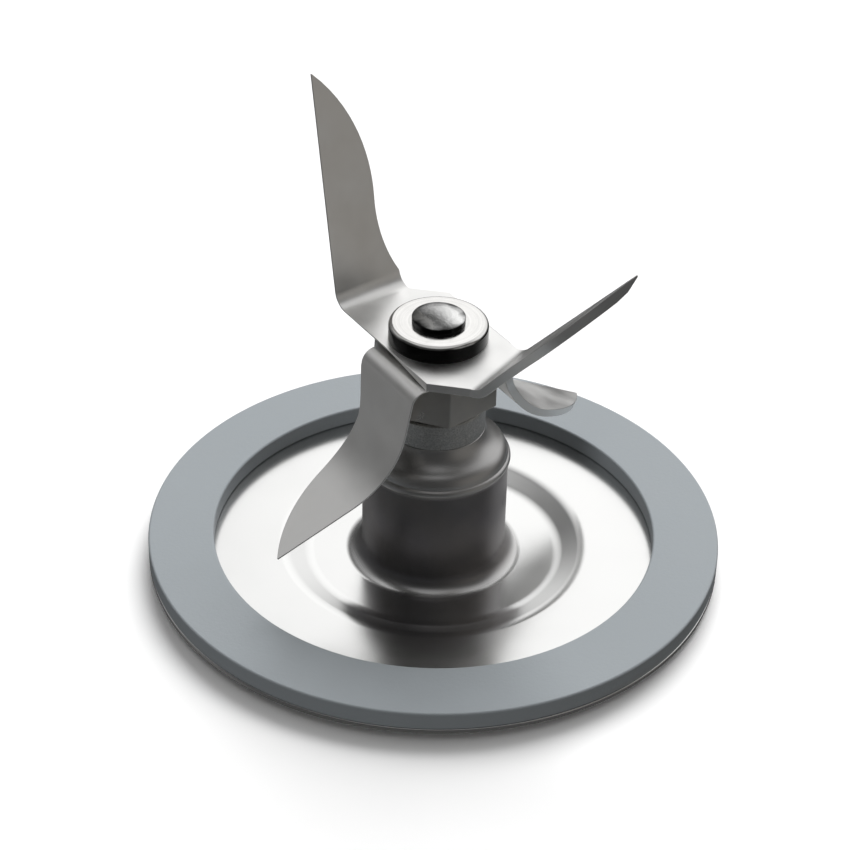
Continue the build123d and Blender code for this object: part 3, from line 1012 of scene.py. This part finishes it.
class CUTTER_OT_stage(bpy.types.Operator):
    """Sets up the floor, the light and the camera."""

    bl_idname = "cutter.stage"
    bl_label = "Stage"

    floor_half: size("Floor half", 2000.0, "Half of the floor's side")
    floor_gap: size("Floor gap", 0.05, "How far the floor lies under the plate")

    # Soft boxes of the studio, angles in degrees: turn from the back to the right (from, to),
    # height (from, to), soft edge, strength and colour
    boxes = (
        (-16.0, 78.0, 9.0, 54.0, 20.0, 1.15, "#FFFFFF"),
        (-8.0, 12.0, 24.0, 50.0, 16.0, 0.3, "#FFFFFF"),
        (-75.0, -32.0, 25.0, 68.0, 24.0, 0.47, "#FFFFFF"),
        (84.0, 145.0, -22.0, 35.0, 28.0, 0.22, "#FFF8EE"),
        (-90.0, -40.0, -12.0, 30.0, 24.0, 0.12, "#FFFFFF"),
        (-104.0, -66.0, -40.0, -6.0, 20.0, 0.14, "#FFFFFF"),
        (-200.0, 200.0, 59.0, 110.0, 16.0, 0.58, "#FFFFFF"),
    )
    room_level = 0.078

    def execute(self, context):
        scene = context.scene
        look = scene.cutter_stage
        scene.view_settings.view_transform = "Standard"
        self.build_floor(scene, look)
        self.build_world(scene)
        self.build_lamps(scene, look)
        self.build_camera(scene)
        return {"FINISHED"}

    def build_floor(self, scene, look):
        """A plain white floor that keeps the shadow; metal mirrors the studio's world instead of it."""
        bm = bmesh.new()
        bmesh.ops.create_grid(bm, x_segments=1, y_segments=1, size=self.floor_half)
        bmesh.ops.translate(bm, verts=bm.verts[:], vec=(0, 0, -self.floor_gap))
        mesh = bpy.data.meshes.new("studio_floor")
        bm.to_mesh(mesh)
        bm.free()
        floor = bpy.data.objects.new("studio_floor", mesh)
        scene.collection.objects.link(floor)
        white = {"Base Color": tinted(look.floor), "Specular IOR Level": 0.0}
        mesh.materials.append(start_material("matt_floor_paint", white)[0])
        floor.visible_glossy = False
        floor.visible_diffuse = False

    def build_world(self, scene):
        """White to the camera; metal mirrors the white wall behind and the dimmer rest of the room."""
        world = bpy.data.worlds.new("studio")
        scene.world = world
        world.use_nodes = True
        tree = world.node_tree
        tree.nodes.clear()
        coords = add_node(tree, "TexCoord").outputs["Generated"]
        facing = add_node(tree, "SeparateXYZ", {0: coords})
        around = add_node(
            tree, "Math", {0: facing.outputs["X"], 1: facing.outputs["Y"]}, operation="ARCTAN2"
        )
        height = add_node(tree, "Math", {0: facing.outputs["Z"]}, operation="ARCSINE")
        level = self.room_level
        total = add_node(tree, "CombineXYZ", {0: level, 1: level, 2: level})
        for left, right, low, high, soft, strength, tint in self.boxes:
            inside = strength
            sides = ((around, left, 1), (around, right, -1), (height, low, 1), (height, high, -1))
            for value, edge, inwards in sides:
                limits = [radians(edge + side * inwards * soft / 2) for side in (-1, 1)]
                inside = add_node(
                    tree,
                    "MapRange",
                    {"Value": value, "From Min": limits[0], "From Max": limits[1], "To Max": inside},
                    interpolation_type="SMOOTHSTEP",
                )
            lit = {0: linear(tint), "Scale": inside}
            shine = add_node(tree, "VectorMath", lit, operation="SCALE")
            total = add_node(tree, "VectorMath", {0: total, 1: shine}, operation="ADD")
        room = add_node(tree, "Background", {"Color": total})
        white = add_node(tree, "Background", {"Color": (1.0, 1.0, 1.0, 1.0)})
        path = add_node(tree, "LightPath")
        seen = add_node(
            tree,
            "Math",
            {0: path.outputs["Is Camera Ray"], 1: path.outputs["Is Transmission Ray"]},
            operation="MAXIMUM",
        )
        mixed = add_node(tree, "MixShader", {0: seen, 1: room, 2: white})
        add_node(tree, "OutputWorld", {"Surface": mixed})

    def build_lamps(self, scene, look):
        """A wide soft light from behind and a low weak one from the front, neither of them mirrored."""
        key_light = look.key_level / sin(look.key_rise)
        lamps = (
            ("soft_key", look.key_turn, look.key_rise, look.key_spread, key_light),
            ("low_fill", look.fill_turn, look.fill_rise, look.fill_spread, look.fill_level),
        )
        for name, around, rise, spread, level in lamps:
            light = bpy.data.lights.new(name, "SUN")
            light.angle = spread
            light.energy = level * pi
            lamp = bpy.data.objects.new(name, light)
            lamp.rotation_euler = (rise - pi / 2, 0.0, -around)
            lamp.visible_glossy = False
            scene.collection.objects.link(lamp)

    def build_camera(self, scene):
        """Camera at the photograph's place, fitted to the ring and the disc."""
        place = (0.0, -0.1957, 0.1513)
        pitch, yaw, roll = radians(34.643), radians(-0.2148), radians(1.3412)
        forward = Vector((sin(yaw) * cos(pitch), cos(yaw) * cos(pitch), -sin(pitch)))
        right = Vector((cos(yaw), -sin(yaw), 0.0))
        up = right.cross(forward)
        right, up = cos(roll) * right + sin(roll) * up, cos(roll) * up - sin(roll) * right
        lens = bpy.data.cameras.new("studio_camera")
        lens.lens = 96.61
        lens.sensor_width = 36.0
        lens.clip_start = 0.01
        camera = bpy.data.objects.new("studio_camera", lens)
        turned = Matrix((right, up, -forward)).transposed().to_4x4()
        camera.matrix_world = Matrix.Translation(place) @ turned
        scene.collection.objects.link(camera)
        scene.camera = camera


class CUTTER_PT_panel(bpy.types.Panel):
    """Lists the steps that build the blade assembly."""

    bl_idname = "CUTTER_PT_panel"
    bl_label = "Blade assembly"
    bl_space_type = "VIEW_3D"
    bl_region_type = "UI"
    bl_category = "Blade assembly"

    def draw(self, context):
        for operator in OPERATORS:
            self.layout.operator(operator.bl_idname)


OPERATORS = (
    CUTTER_OT_base_plate,
    CUTTER_OT_gasket,
    CUTTER_OT_bearing,
    CUTTER_OT_spindle,
    CUTTER_OT_blades,
    CUTTER_OT_stage,
)


def register():
    """Registers the settings, the steps and the panel."""
    for name, look in LOOKS.items():
        bpy.utils.register_class(look)
        setattr(bpy.types.Scene, name, PointerProperty(type=look))
    for each in OPERATORS + (CUTTER_PT_panel,):
        bpy.utils.register_class(each)


def unregister():
    """Takes the settings, the steps and the panel out again."""
    for each in (CUTTER_PT_panel,) + OPERATORS[::-1]:
        bpy.utils.unregister_class(each)
    for name, look in LOOKS.items():
        delattr(bpy.types.Scene, name)
        bpy.utils.unregister_class(look)


def main():
    """Builds everything in order."""
    register()
    bpy.ops.cutter.base_plate()
    bpy.ops.cutter.gasket()
    bpy.ops.cutter.bearing()
    bpy.ops.cutter.spindle()
    bpy.ops.cutter.blades()
    bpy.ops.cutter.stage()


if __name__ == "__main__":
    main()
